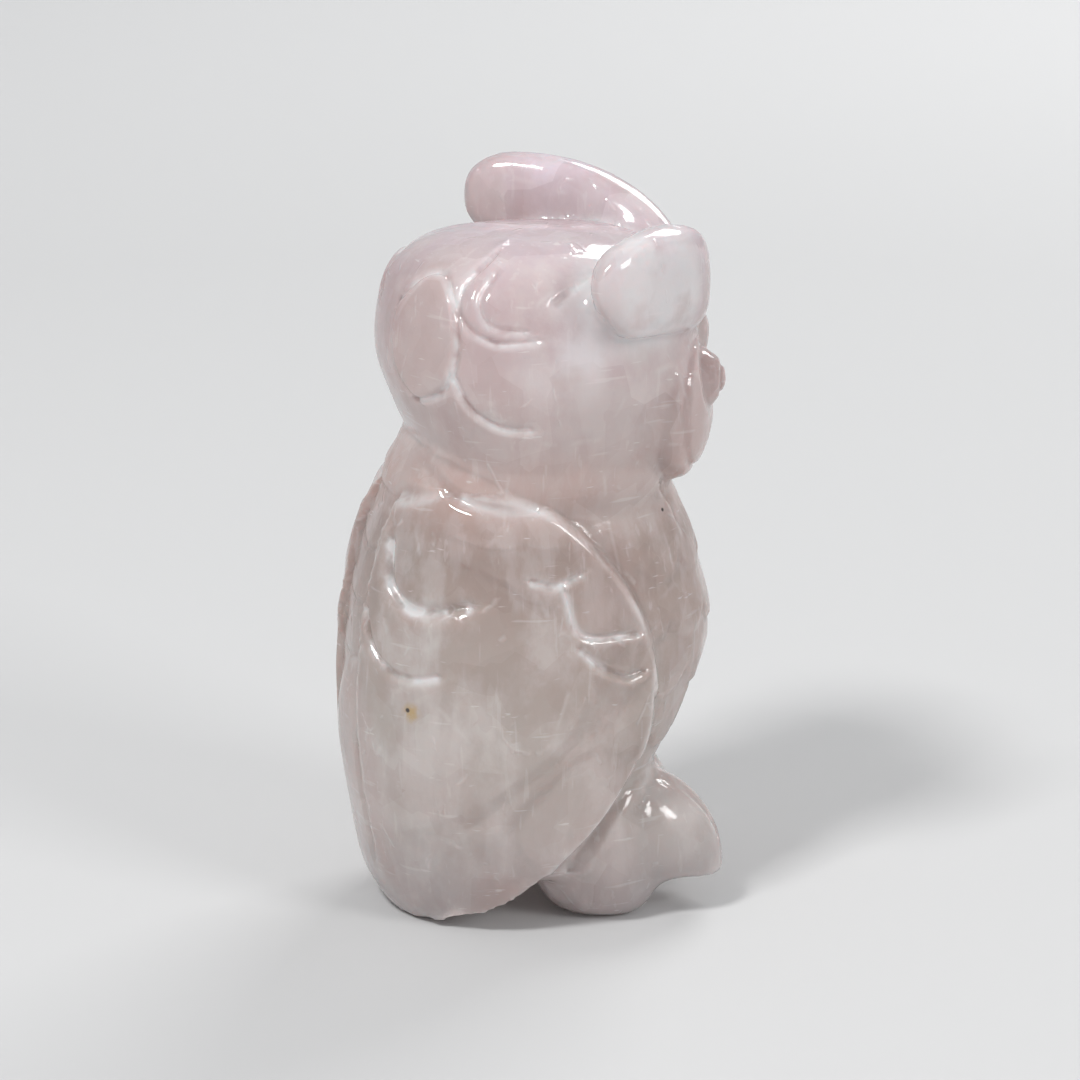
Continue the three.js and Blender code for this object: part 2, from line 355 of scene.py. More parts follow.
def relaxed(points, edges, rounds, pull=0.5, push=-0.52):
    """Each point moves part of the way to the middle of its neighbours, then nearly as far back,
    which takes out steps and keeps the volume."""
    ends = np.concatenate([edges[:, 0], edges[:, 1]])
    others = np.concatenate([edges[:, 1], edges[:, 0]])
    count = np.bincount(ends, minlength=len(points))[:, None]
    for _ in range(rounds):
        for share in (pull, push):
            sums = [np.bincount(ends, points[others, k], len(points)) for k in range(3)]
            total = np.stack(sums, 1)
            points = points + share * (total / count - points)
    return points


stepped = points_of(owl)
even = relaxed(stepped, edges_of(owl), 6)
taken = float(np.linalg.norm(even - stepped, axis=1).max())
print("largest step taken out in mm:", round(taken, 2))
put_points(owl, even)

# %% [markdown]
# In a few places the wheel left no crease at all: where the right tuft runs out on the head, where
# the cheeks turn into the face, at the flank of the neck, beside the feet and at the wing tips.
# Plain averaging inside a fading spot melts the crease there.


# %% Melt the creases at a few spots
def melted(points, edges, spots, rounds):
    """Averages points with their neighbours, by a share that fades from 1 at the middle of each
    stretched spot to 0 at its rim."""
    share = np.zeros(len(points))
    for centre, size in spots:
        away = np.linalg.norm((points - centre) / size, axis=1)
        share = np.maximum(share, soft_step(1, 0.35, away))
    soft = relaxed(points, edges, rounds, 0.5, 0.0)
    return points + share[:, None] * (soft - points)


SPOTS = [
    ((-18.8, 0.6, 85.6), (8, 10.5, 10)),
    ((-17.5, -11.5, 70.5), (6, 6, 13)), ((17.5, -11.5, 70.5), (6, 6, 13)),
    ((-16, -8, 61), (8, 12, 5)), ((16, -8, 61), (8, 12, 5)),
    ((-17.5, -14, 8), (9, 9, 11)), ((17.5, -14, 8), (9, 9, 11)),
    ((-15, -3, 3), (9, 9, 8)), ((15, -3, 3), (9, 9, 8)),
    ((-12, 13, 0), (6, 7, 5)), ((12, 13, 0), (6, 7, 5)),
]
put_points(owl, melted(points_of(owl), edges_of(owl), SPOTS, 30))
print("melted spots:", len(SPOTS))

# %% [markdown]
# ## Where the carver cut
# Every cut is a line on the skin. On trunk and head a line is easiest to give on the unrolled
# surface: distance round from the side, and height. Zero is the middle of the flank, positive
# runs to the back.


# %% Unroll a stacked form
BODY_ROUND, HEAD_ROUND = 23.5, 20  # mean radii that turn an angle into a distance round


def unrolled(points, profile, radius):
    """Distance round the form (angle times radius) and how far the point is off its surface."""
    side, back, front = reach(profile, points[:, 2])
    x, y = np.abs(points[:, 0]), points[:, 1]
    far = np.where(y > 0, back, front)
    angle = np.arctan2(y / far, np.maximum(x / side, 1e-6))
    ratio = ((x / side) ** SQUARENESS + np.abs(y / far) ** SQUARENESS) ** (1 / SQUARENESS)
    return angle * radius, (ratio - 1) * radius


around_body = unrolled(points_of(owl), BODY, BODY_ROUND)[0]
print("half round the trunk in mm:", round(float(around_body.max() - around_body.min()), 1))

# %% [markdown]
# A cut is deepest on its line and fades to both sides, so all that a cut needs is the distance
# from every point to the line, and, for a raised lip, the side of the line the point lies on.


# %% Distance to a line on the skin, and in space
def distance_to(line, across, up):
    """Shortest distance to a smooth line and the side it lies on (positive to its left)."""
    line = through(np.array(line, float), np.linspace(0, 1, 8 * len(line)))
    best = np.full(len(across), 1e9)
    side = np.ones(len(across))
    for (ax, ay), (bx, by) in zip(line[:-1], line[1:]):
        dx, dy = bx - ax, by - ay
        f = np.clip(((across - ax) * dx + (up - ay) * dy) / (dx * dx + dy * dy), 0, 1)
        ex, ey = across - ax - f * dx, up - ay - f * dy
        d = np.hypot(ex, ey)
        closer = d < best
        best = np.where(closer, d, best)
        side = np.where(closer, np.sign(dx * ey - dy * ex), side)
    return best, side


def distance_to_path(path, points):
    """Shortest distance in space to a smooth path, the same on both sides of the owl."""
    path = through(np.array(path, float), np.linspace(0, 1, 6 * len(path)))
    folded = np.stack([np.abs(points[:, 0]), points[:, 1], points[:, 2]], axis=-1)
    best = np.full(len(points), 1e9)
    for start, stop in zip(path[:-1], path[1:]):
        step = stop - start
        f = np.clip((folded - start) @ step / (step @ step), 0, 1)
        best = np.minimum(best, np.linalg.norm(folded - start - f[:, None] * step, axis=1))
    return best


level_line = [(0, 0), (1, 0), (2, 0)]
print("from (1, 2) to a level line:", distance_to(level_line, np.array([1.0]), np.array([2.0]))[0])

# %% [markdown]
# The wing has a few long sickle cuts and short feather ends, the head has scales like tiles, and
# shallow marks run down the back. Lines are given as (distance round, height). The nape and the
# inner foot of the tufts, which cross from one form to another, are given as points in space.

# %% Lines on wing, back, neck and head
WING_LINES = [
    [(28, 54), (26.2, 49.5), (23.2, 47.2), (19.6, 46.4), (13.8, 47.4)],
    [(30.5, 44.4), (28, 40.4), (24, 37.8), (20, 37.2), (17, 37.8)],
    [(5.6, 50.9), (2.6, 50.2), (-0.8, 51.4)],
    [(1.4, 49.2), (-0.7, 43.4), (-8.4, 42.6)],
    [(-0.6, 41.2), (-3.1, 38.9), (-6.7, 37), (-9, 37.2)],
]
NECK_LINE = [(-20.5, 60), (-22.4, 57.6), (-22.4, 55)]
NAPE = [(5, 18.6, 66.3), (10, 16.6, 63.6), (14, 13.6, 61.2), (16.6, 9, 60), (17.6, 4, 59.6)]
TUFT_FOOT = [
    (4, -16, 91.2), (7.2, -14.4, 91.6), (10.5, -11.4, 91.6), (14.6, -5.2, 90.9), (17.8, 1.7, 87.6),
]
BACK_LINES = [[(31, z + 1.5), (33.6, z - 0.8), (36.9, z - 1.6)] for z in (53, 45.5, 38)]
HEAD_LINES = [
    [(12.6, 92.6), (15.2, 89.4), (14.4, 85.6), (10, 82.8), (4.6, 83)],
    [(11, 90.8), (12.4, 88), (10.6, 85), (6.2, 84.2)],
    [
        (26.8, 86), (23, 90), (18.5, 90.2), (15.4, 86.5),
        (14.8, 81.5), (16.2, 77), (19.5, 74.6), (22.5, 74),
    ],
    [(15.2, 77.5), (13.4, 73.6), (10, 71.4), (6, 71)],
]
RIGHT_LINE = [(22.5, 74), (25.8, 76.4), (27.4, 81), (26.8, 86)]  # right half of the head only
carved_lines = WING_LINES + BACK_LINES + HEAD_LINES + [RIGHT_LINE, NECK_LINE, NAPE, TUFT_FOOT]
print("carved lines:", len(carved_lines))

# %% [markdown]
# A cut half a millimetre wide cannot show on a mesh whose points are 0.8 mm apart, and a finer
# mesh everywhere would be heavy. So edges are halved only near a line, twice where it is close.


# %% How close each point is to a cut
def leaf_distance(y, z):
    """Distance to the leaf outline of the wing, positive inside it."""
    d, side = distance_to(LEAF, y, z)
    return -d * side


def near_a_line(points):
    """How close a point is to any carved line, in millimetres."""
    round_body, off_body = unrolled(points, BODY, BODY_ROUND)
    round_head, off_head = unrolled(points, HEAD, HEAD_ROUND)
    z = points[:, 2]
    near = np.abs(leaf_distance(points[:, 1], z)) + 0 * z
    for line in WING_LINES + BACK_LINES + [NECK_LINE]:
        near = np.minimum(near, distance_to(line, round_body, z)[0])
    near = np.where(np.abs(off_body) < 1.2, near, 99)
    head = np.full(len(points), 99.0)
    for line in HEAD_LINES + [RIGHT_LINE]:
        head = np.minimum(head, distance_to(line, round_head, z)[0])
    near = np.minimum(near, np.where((np.abs(off_head) < 1.2) & (z > 66), head, 99))
    folded = np.stack([np.abs(points[:, 0]), points[:, 1], z], axis=-1)
    near = np.minimum(near, distance_to_path(NAPE, points) / 1.4)  # a wider cut
    near = np.minimum(near, distance_to_path(TUFT_FOOT, points))
    face = np.linalg.norm((folded - DISC) / [10.4, 9, 11.6], axis=1)
    return np.where((face < 1) & (points[:, 1] < -17), 1.2, near)  # the whole face, once


print("points within 1 mm of a cut:", int((near_a_line(points_of(owl)) < 1).sum()))


# %% Sharpen the mesh there
def split_edges(piece, chosen):
    """Cuts each chosen edge in half and fills the faces between the cuts."""
    bpy.context.view_layer.objects.active = piece
    bpy.ops.object.mode_set(mode="EDIT")
    bpy.ops.mesh.select_mode(type="EDGE")
    bpy.ops.mesh.select_all(action="DESELECT")
    bpy.ops.object.mode_set(mode="OBJECT")
    piece.data.edges.foreach_set("select", chosen)
    bpy.ops.object.mode_set(mode="EDIT")
    bpy.ops.mesh.subdivide(number_cuts=1, smoothness=0, quadcorner="INNERVERT")
    bpy.ops.object.mode_set(mode="OBJECT")


for reach_of_cut in (1.6, 1.05):
    near = near_a_line(points_of(owl)) < reach_of_cut
    split_edges(owl, near[edges_of(owl)].all(1))
    print("points after sharpening:", len(owl.data.vertices))
put_points(owl, relaxed(points_of(owl), edges_of(owl), 3))

# %% [markdown]
# ## Cutting
# The wings and the tail stand proud of the trunk. A carver leaves them and grinds the rest back,
# and so does this cell: every trunk point outside their outlines moves inward by the relief.


# %% Grind the trunk back round the wings
def ground_back(points):
    """Moves trunk points outside wing and tail inward, more at the sides and back than in front.
    A point whose distance to a foot's centre, in units of the foot's size, is near 1 lies on the
    foot and stays."""
    off = unrolled(points, BODY, BODY_ROUND)[1]
    side, back, _ = reach(BODY, points[:, 2])
    x, y, z = points.T
    inside = leaf_distance(y, z)
    wing = soft_step(-0.9, 0.1, inside) * soft_step(WING_REAR - 0.5, WING_REAR + 0.4, np.abs(x))
    tail = soft_step(0.2, -0.6, np.abs(x) - 4.9) * soft_step(6, -1, z - 31 + 0.16 * x**2) * (y > 0)
    skin = 1 - soft_step(0.6, 2.2, np.abs(off))
    amount = RELIEF * skin * (1 - np.maximum(wing, tail)) * soft_step(62.5, 57.5, z)
    amount *= 1 - 0.6 * soft_step(WING_REAR + 1, WING_REAR - 1, np.abs(x)) * (y > 0)
    folded = np.stack([np.abs(x), y, z], axis=-1)
    leaned = folded - TOES - np.stack([0 * x, TOES_LEAN * (z - TOES[2]), 0 * x], axis=-1)
    heel = np.linalg.norm((folded - HEEL) / HEEL_SIZE, axis=1)
    toes = np.linalg.norm(leaned / TOES_SIZE, axis=1)
    amount *= soft_step(1.03, 1.2, np.minimum(heel, toes))
    amount *= np.where(y > 0, soft_step(6, 11, z), 1)
    moved = points.copy()
    moved[:, 0] -= amount * x / side
    moved[:, 1] -= amount * np.maximum(y, 0) / back
    return moved


whole = points_of(owl)
ground = ground_back(whole)
print("ground back by up to", round(float(np.linalg.norm(ground - whole, axis=1).max()), 1), "mm")
put_points(owl, ground)

# %% [markdown]
# A feather line is a narrow groove. A groove alone shows as a thin dark line, and a small wheel
# held at a slant also leaves one raised lip, which catches the light, so grooves may have one.


# %% Score the lines
def bell(distance, width):
    """1 on the line, falling off as a bell curve of the distance over the width."""
    return np.exp(-((distance / width) ** 2))


def groove(distance, side, width, depth, lip=0.0):
    """A rounded cut (bell curve of the distance) with a lip that fades out on one side."""
    cut = -depth * bell(distance, width)
    one_side_only = soft_step(-0.3, 0.5, distance * side / width)
    return cut + lip * bell(distance, 3.2 * width) * one_side_only


def scored(points):
    """Height to add along the normal for all carved lines."""
    body, off_body = unrolled(points, BODY, BODY_ROUND)
    head, off_head = unrolled(points, HEAD, HEAD_ROUND)
    x, y, z = points.T
    height = np.zeros(len(points))
    for line, width in zip(WING_LINES, (1.0, 0.6, 0.5, 0.5, 0.6)):
        height += groove(*distance_to(line, body, z), width, 0.85 * width, 0.6 * width)
    height += groove(*distance_to(NECK_LINE, body, z), 0.5, 0.5, 0.4)
    for line in BACK_LINES:
        height += groove(*distance_to(line, body, z), 0.5, 0.2, 0.1)
    d, s = distance_to(LEAF, y, z)
    height += groove(d + 0.3, s, 0.5, 0.3) * soft_step(3, 8, z)
    height *= (off_body > -4) & (off_body < 1.5) & (z < 62)
    crown = np.zeros(len(points))
    for line in HEAD_LINES:
        crown += groove(*distance_to(line, head, z), 0.5, 0.45, 0.3)
    crown += groove(*distance_to(RIGHT_LINE, head, z), 0.5, 0.45, 0.3) * (x < 0)
    height += crown * ((np.abs(off_head) < 1.5) & (z > 66))
    height -= 0.4 * bell(distance_to_path(TUFT_FOOT, points), 0.6)
    return height - 0.75 * bell(distance_to_path(NAPE, points), 0.9)


carved = points_of(owl)
score = scored(carved)
print("deepest cut and highest lip in mm:", np.round([score.min(), score.max()], 2).tolist())

# %% [markdown]
# The carved lines get painted highlights: white laid along them stands in for the glints of the
# lamps on the cut edges, and at the foot of the tufts partly for white chipped stone. How much each
# point gets is kept on the mesh as an attribute, which the stone's material reads.


# %% Painted highlights along the cuts, and chips at the tuft foot
def highlights_and_chips(points):
    """Painted highlight on the lines, white chips at the tuft foot: 1 on a line, fading within a
    millimetre.
    """
    body, off_body = unrolled(points, BODY, BODY_ROUND)
    head, off_head = unrolled(points, HEAD, HEAD_ROUND)
    x, y, z = points.T
    on_body = sum(bell(distance_to(line, body, z)[0], 0.55) for line in WING_LINES + [NECK_LINE])
    on_body += bell(distance_to(WING_LINES[0], body, z)[0], 0.8)
    on_body += 0.55 * bell(leaf_distance(y, z), 0.6) * (np.abs(x) > WING_REAR)
    on_head = sum(bell(distance_to(line, head, z)[0], 0.45) for line in HEAD_LINES)
    lit_and_chipped = on_body * ((np.abs(off_body) < 2) & (z < 62))
    lit_and_chipped += on_head * ((np.abs(off_head) < 1.5) & (z > 66))
    lit_and_chipped += 0.7 * bell(distance_to_path(NAPE, points), 0.8)
    lit_and_chipped += 1.2 * bell(distance_to_path(TUFT_FOOT, points), 0.8)
    return np.clip(lit_and_chipped, 0, 1.8)


# Painted highlights along the cuts, with white chips at the tuft foot, are stored as an attribute.
highlight_and_chip_share = highlights_and_chips(carved)
highlight_and_chip_mark = owl.data.attributes.new("highlight_and_chip_mark", "FLOAT", "POINT")
highlight_and_chip_mark.data.foreach_set("value", highlight_and_chip_share.astype(np.float32))
put_points(owl, carved + normals_of(owl) * score[:, None])
print("share of the skin that is frosted:", round(float((highlight_and_chip_share > 0.5).mean()), 3))

# %% [markdown]
# The breast carries low rows of feathers that overlap like roof tiles. A groove along each edge
# would look drawn on. A saw-tooth in the height gives every row a step, as real shingles have.


# %% Breast feathers
ROWS = (51.5, 43.5, 35.5, 27.5)  # heights of the lower edges
FEATHER_WIDTH = 8.4
FRONT_MIDDLE = 36.9  # distance round from the flank to the middle of the breast


def shingles(points):
    """Rows of overlapping scallops: each row is thickest at its lower edge, which dips in the
    middle of every feather, so the height is a saw-tooth of the distance above that edge."""
    body, off = unrolled(points, BODY, BODY_ROUND)
    x, y, z = points.T
    sideways = (FRONT_MIDDLE + body) * np.sign(x)
    height = np.zeros(len(points))
    for row, edge in enumerate(ROWS):
        cell = (sideways / FEATHER_WIDTH + 0.5 * (row % 2)) % 1.0 - 0.5
        above = z - (edge - 3.4 * (1 - np.abs(2 * cell) ** 2.6) ** 0.6)
        height += 0.42 * soft_step(-0.5, 0.5, above) * soft_step(9.5, 0.3, above)
        height -= 0.12 * bell(above, 0.5)
    front = (y < 0) * soft_step(27, 24, np.abs(sideways)) * soft_step(58, 54, z)
    return height * front * (1 - soft_step(2.6, 4.2, np.abs(off)))


carved = points_of(owl)
feathers = shingles(carved)
print("feather step in mm:", round(float(feathers.max()), 2), "in", len(ROWS), "rows")

# %% [markdown]
# Last come the cuts that give the owl its look: a ring round each eye and pupil, a line inside the
# rim of each disc, and two upright cuts that part each foot into toes. All of these follow from a
# distance too, to a point, to an ellipse or to an upright plane.


# %% Face rings and toes
def ring(points, centre, radius, width, depth):
    """A round groove where the distance to a centre equals the radius."""
    away = np.linalg.norm(points - centre, axis=1)
    return groove(np.abs(away - radius), 1, width, depth)


def toe_lines(points):
    """Two upright grooves that part each foot's front lobe into toes."""
    x, y, z = points.T
    where = (y < -15.5) * soft_step(18.5, 15, z)
    return where * sum(groove(np.abs(np.abs(x) - at), 1, 0.8, 0.7) for at in (7.7, 13.5))


def face_lines(points):
    """Rings round eye and pupil, and a line that follows the rim of each disc."""
    x, y, z = points.T
    folded = np.stack([np.abs(x), y, z], axis=-1)
    height = ring(folded, EYE, 4.9, 0.5, 0.45)
    turn = math.radians(DISC_TURN)
    pupil = np.array(EYE) + 4.2 * np.array([math.sin(turn) * 0.6, -math.cos(turn * 0.6), 0])
    height += ring(folded, pupil, 2.1, 0.4, 0.3)
    dx, dy, dz = (folded - DISC).T
    local = (dx * math.cos(turn) + dy * math.sin(turn)) / DISC_SIZE[0]
    rim = np.hypot(local, dz / DISC_SIZE[2])
    outside_eye = np.linalg.norm(folded - EYE, axis=1) > 5.6
    height += groove(np.abs(rim - 0.84) * 10, 1, 0.5, 0.35) * (y < -14) * outside_eye
    return height * (y < -12) * (z > 58) * (z < 80.5)


extra = feathers + toe_lines(carved) + face_lines(carved)
put_points(owl, carved + normals_of(owl) * extra[:, None])
print("cut by up to", round(float(-extra.min()), 2), "mm on face, breast and feet")

# %% [markdown]
# A stone polished by hand is never quite even: the skin swells and sinks by a few hundredths of a
# millimetre, and its highlights waver. Many weak sine waves in random directions give that swell.


# %% Uneven hand polish
def waviness(points, seed=4, waves=26, length=9.0, height=0.03):
    """Sum of many gentle sine waves in random directions, like the swell a buffing wheel leaves."""
    rng = np.random.default_rng(seed)
    direction = rng.normal(size=(waves, 3))
    direction /= np.linalg.norm(direction, axis=1, keepdims=True)
    rate = 2 * math.pi / (length * rng.uniform(0.6, 2.2, waves))
    phase = rng.uniform(0, 2 * math.pi, waves)
    swell = np.sin(points @ (direction * rate[:, None]).T + phase).sum(1)
    return height * swell / math.sqrt(waves / 2)


carved = points_of(owl)
carved += normals_of(owl) * waviness(carved)[:, None]
carved[:, 2] = np.maximum(carved[:, 2], 0)  # flat soles
put_points(owl, carved)
owl.data.polygons.foreach_set("use_smooth", np.ones(len(owl.data.polygons), bool))
owl.data.update()
triangles = sum(len(p.vertices) - 2 for p in owl.data.polygons)
print("triangles:", triangles)

# %% [markdown]
# ## Rose quartz
# The stone is milky: light goes in, wanders a few millimetres and comes out pinker. Subsurface
# scattering does that, with red reaching furthest. A share of transmission lets thin edges glow.
# The share stays below one half, or the stone would turn to clear glass.

# %% Milky body
stone = bpy.data.materials.new("rose_quartz")
stone.use_nodes = True
nodes, links = stone.node_tree.nodes, stone.node_tree.links
surface = nodes["Principled BSDF"]
surface.inputs["IOR"].default_value = 1.54
surface.inputs["Subsurface Weight"].default_value = 1.0
surface.inputs["Subsurface Radius"].default_value = (1.0, 0.72, 0.70)
surface.inputs["Subsurface Scale"].default_value = 0.0030
surface.inputs["Transmission Weight"].default_value = 0.4
wander = surface.inputs["Subsurface Scale"].default_value / MM
print("red light wanders", round(wander, 1), "mm in the stone")

# %% [markdown]
# Its tone is never even, and every cause of that is a layer: a pattern says where, a window turns
# the pattern into a share between 0 and 1, and a mix lays a colour over the tone so far by that
# share. A few helpers keep each layer to a line or two.


# %% Helpers for the mixing of tones
def linked(value, socket):
    """Links another node's output to a socket, or writes a number or a colour into it."""
    if isinstance(value, (int, float)):
        socket.default_value = value
    elif isinstance(value, tuple):
        socket.default_value = (*value, 1)
    else:
        links.new(value, socket)


def mixed(kind, amount, a, b):
    """Colour a with colour b laid over it by the amount."""
    node = nodes.new("ShaderNodeMix")
    node.data_type = "RGBA"
    node.blend_type = kind
    for name, value in (("Factor", amount), ("A", a), ("B", b)):
        linked(value, node.inputs[name])
    return node.outputs["Result"]


def ramp(source, stops):
    """Colours at given places from 0 to 1, blended evenly between them."""
    node = nodes.new("ShaderNodeValToRGB")
    links.new(source, node.inputs["Fac"])
    while len(node.color_ramp.elements) < len(stops):
        node.color_ramp.elements.new(0.5)
    for element, (at, colour) in zip(node.color_ramp.elements, stops):
        element.position = at
        element.color = (*colour, 1)
    return node.outputs["Color"]


def window(source, low, high, top=1.0):
    """0 below low, top above high, and an S-shaped climb between them."""
    node = nodes.new("ShaderNodeMapRange")
    node.interpolation_type = "SMOOTHSTEP"
    ends = (("From Min", low), ("From Max", high), ("To Min", 0.0), ("To Max", top))
    for name, value in ends:
        node.inputs[name].default_value = value
    links.new(source, node.inputs["Value"])
    return node.outputs["Result"]


def reckoned(operation, *values):
    """One step of arithmetic on outputs and numbers."""
    node = nodes.new("ShaderNodeMath")
    node.operation = operation
    for socket, value in zip(node.inputs, values):
        linked(value, socket)
    return node.outputs["Value"]


print("helper nodes so far:", len(nodes))

# %% [markdown]
# All patterns read Object coordinates, so they run through the whole stone as in a solid block and
# do not stretch over the form. A Mapping node turns and stretches a pattern first: the cracks in
# this stone stand steeply, so most patterns are drawn out along the upright.


# %% Patterns through the block
place = nodes.new("ShaderNodeTexCoord").outputs["Object"]


def stretched(stretch, turn=(0, 0, 0)):
    """Place in the stone, turned and then scaled along each axis."""
    mapping = nodes.new("ShaderNodeMapping")
    mapping.inputs["Rotation"].default_value = turn
    mapping.inputs["Scale"].default_value = stretch
    links.new(place, mapping.inputs["Vector"])
    return mapping.outputs["Vector"]


def noise(scale, detail=4.0, stretch=(1, 1, 1), coarse=0.5):
    """Soft clouds: the larger the scale, the smaller the clouds."""
    node = nodes.new("ShaderNodeTexNoise")
    node.inputs["Scale"].default_value = scale
    node.inputs["Detail"].default_value = detail
    node.inputs["Roughness"].default_value = coarse
    links.new(stretched(stretch), node.inputs["Vector"])
    return node.outputs["Fac"]


def cells(kind, scale, turn, stretch):
    """The stone parted into cells, each round its own seed point."""
    node = nodes.new("ShaderNodeTexVoronoi")
    node.feature = kind
    node.inputs["Scale"].default_value = scale
    links.new(stretched(stretch, turn), node.inputs["Vector"])
    return node


def around_point(centre, near, far):
    """1 within near millimetres of the centre, fading to 0 at far."""
    node = nodes.new("ShaderNodeVectorMath")
    node.operation = "DISTANCE"
    links.new(place, node.inputs[0])
    node.inputs[1].default_value = [c * MM for c in centre]
    return window(node.outputs["Value"], far * MM, near * MM)


print("patterns ready on", place.name, "coordinates")

# %% [markdown]
# From sole to tuft the tone changes: greyish white at the feet, darker and brownish about half way
# up, pink in the head and a lilac white at the top. That light top is partly the stone's lilac and
# partly painted light, standing in for the light that falls on the tufts from above. Height times
# ten runs from 0 to 1.

# %% Tone by height
LEVELS = [
    (0.0, (0.64, 0.61, 0.62)), (0.16, (0.66, 0.62, 0.59)), (0.30, (0.62, 0.57, 0.53)),
    (0.46, (0.54, 0.46, 0.42)), (0.54, (0.49, 0.41, 0.375)), (0.62, (0.71, 0.58, 0.54)),
    # The lilac white at 1.0 is partly painted light from above on the tufts.
    (0.70, (0.74, 0.66, 0.65)), (0.88, (0.70, 0.60, 0.62)), (1.0, (0.94, 0.88, 0.97)),
]
split = nodes.new("ShaderNodeSeparateXYZ")
links.new(place, split.inputs["Vector"])
tone = ramp(reckoned("MULTIPLY", split.outputs["Z"], 10.0), LEVELS)
print("tones by height:", len(LEVELS))

# %% [markdown]
# Milk in the stone makes pale clouds and leaves pinker, clearer gaps between them.

# %% Clouds
CLOUDS = (  # noise settings, window, colour
    ((66, 7, (1, 1, 0.7), 0.60), (0.44, 0.60, 0.50), (0.86, 0.83, 0.82)),
    ((90, 5, (2.2, 2.2, 0.5), 0.55), (0.50, 0.64, 0.26), (0.88, 0.85, 0.85)),
    ((44, 6, (1.2, 1.2, 0.6), 0.56), (0.50, 0.64, 0.40), (0.62, 0.50, 0.47)),
)
for pattern, share, colour in CLOUDS:
    tone = mixed("MIX", window(noise(*pattern), *share), tone, colour)
print("layers of cloud:", len(CLOUDS))

# %% [markdown]
# Healed cracks part the stone into blocks, each a shade lighter or darker than the next. Cells
# measured by the larger of the three distances (Chebyshev) are blocks with straight edges.

# %% Blocks between healed cracks
WHITE = (1, 1, 1)
patches = cells("SMOOTH_F1", 48, (0.1, 0.2, 0.4), (1.0, 1.0, 0.5)).outputs["Color"]
tone = mixed("MULTIPLY", 1.0, tone, ramp(patches, [(0.15, (0.97, 0.90, 0.89)), (0.8, WHITE)]))
for scale, turn, low in ((95, (0.25, 0.3, 0.2), 0.88), (190, (0.1, 0.5, 0.9), 0.93)):
    blocks = cells("F1", scale, turn, (1.0, 1.0, 0.75))
    blocks.distance = "CHEBYCHEV"
    blocks.inputs["Randomness"].default_value = 0.85
    shades = [(0.1, (low + 0.01, low - 0.01, low - 0.015)), (0.9, WHITE)]
    tone = mixed("MULTIPLY", 1.0, tone, ramp(blocks.outputs["Color"], shades))
print("nodes with blocks:", len(nodes))

# %% [markdown]
# The right tuft is white throughout, and the milk spreads from it into the head behind.

# %% Milk at the right tuft
MILK = (  # centre, full within, gone at, upper end and top of the window, colour
    ((-17.5, -10.5, 89), 6.5, 11.0, 0.55, 0.80, (0.92, 0.92, 0.93)),
    ((-19, 0.5, 81.5), 1.5, 9.5, 0.60, 0.60, (0.90, 0.88, 0.91)),
)
for centre, near, far, high, top, colour in MILK:
    cloudy = window(noise(150, 4), 0.25, high, top)
    tone = mixed("MIX", reckoned("MULTIPLY", around_point(centre, near, far), cloudy), tone, colour)
print("milky patches:", len(MILK))

# %% [markdown]
# The cracks themselves show as thin pale veils that come and go, and as short scratches. A veil
# lies where a point is about as far from two seeds, which is the edge between two cells. Noise
# drawn out along one axis gives the scratches.

# %% Veils and streaks
PALE = (0.95, 0.92, 0.92)
VEILS = (  # scale, turn, stretch, low end of the window, strength
    (70, (0.2, 0.35, 0.1), (1, 1, 0.6), 0.50, 0.16),
    (120, (0.05, 0.1, 0.5), (1, 1, 0.5), 0.54, 0.20),
)
STREAKS = (  # scale, stretch, low end of the window, strength
    (100, (1, 1, 9), 0.67, 0.22),
    (260, (1, 1, 6), 0.70, 0.40),
    (130, (7, 7, 0.8), 0.64, 0.14),
)
for scale, turn, stretch, low, strength in VEILS:
    to_edge = cells("DISTANCE_TO_EDGE", scale, turn, stretch).outputs["Distance"]
    patchy = window(noise(scale * 3.1, 2), low, low + 0.12, strength)
    veil = reckoned("MULTIPLY", window(to_edge, 0.03, 0.0), patchy)
    tone = mixed("MIX", veil, tone, PALE)
for scale, stretch, low, strength in STREAKS:
    tone = mixed("MIX", window(noise(scale, 2, stretch), low, low + 0.06, strength), tone, PALE)
print("veils and streaks:", len(VEILS) + len(STREAKS))

# %% [markdown]
# On top lie the marks that sit at the skin: the painted highlights along the cuts, partly white
# chips at the tuft foot, read from the mesh's own attribute and broken up by noise, one small
# yellow iron stain on the right wing, and four dark specks.

# %% Painted cut highlights and chips, stain and specks
lit_and_chipped = nodes.new("ShaderNodeAttribute")
lit_and_chipped.attribute_name = "highlight_and_chip_mark"
brightened = reckoned("MULTIPLY", lit_and_chipped.outputs["Fac"], window(noise(230, 3), 0.36, 0.60, 0.90))
# Painted highlight: near white along the cuts, partly white chips at the tuft foot.
tone = mixed("MIX", brightened, tone, (0.98, 0.96, 0.97))
stain = around_point((-15.2, 20.9, 32.6), 0.3, 1.9)
stain = reckoned("MULTIPLY", stain, window(noise(900, 3), 0.3, 0.6, 0.75))
tone = mixed("MIX", stain, tone, (0.62, 0.42, 0.14))
SPECKS = (
    ((-14.8, 21.3, 32.9), 0.42), ((-14.5, -11.1, 62.8), 0.3),
    ((-12.8, -14.9, 57), 0.35), ((-18.8, -15.8, 72), 0.3),
)
for speck, size in SPECKS:
    tone = mixed("MIX", around_point(speck, 0.45 * size, size), tone, (0.05, 0.04, 0.04))
links.new(tone, surface.inputs["Base Color"])
print("specks:", len(SPECKS))

# %% [markdown]
# The polish is good but not perfect: the gloss varies a little, and the skin has a fine ripple
# that rises where a veil meets it.

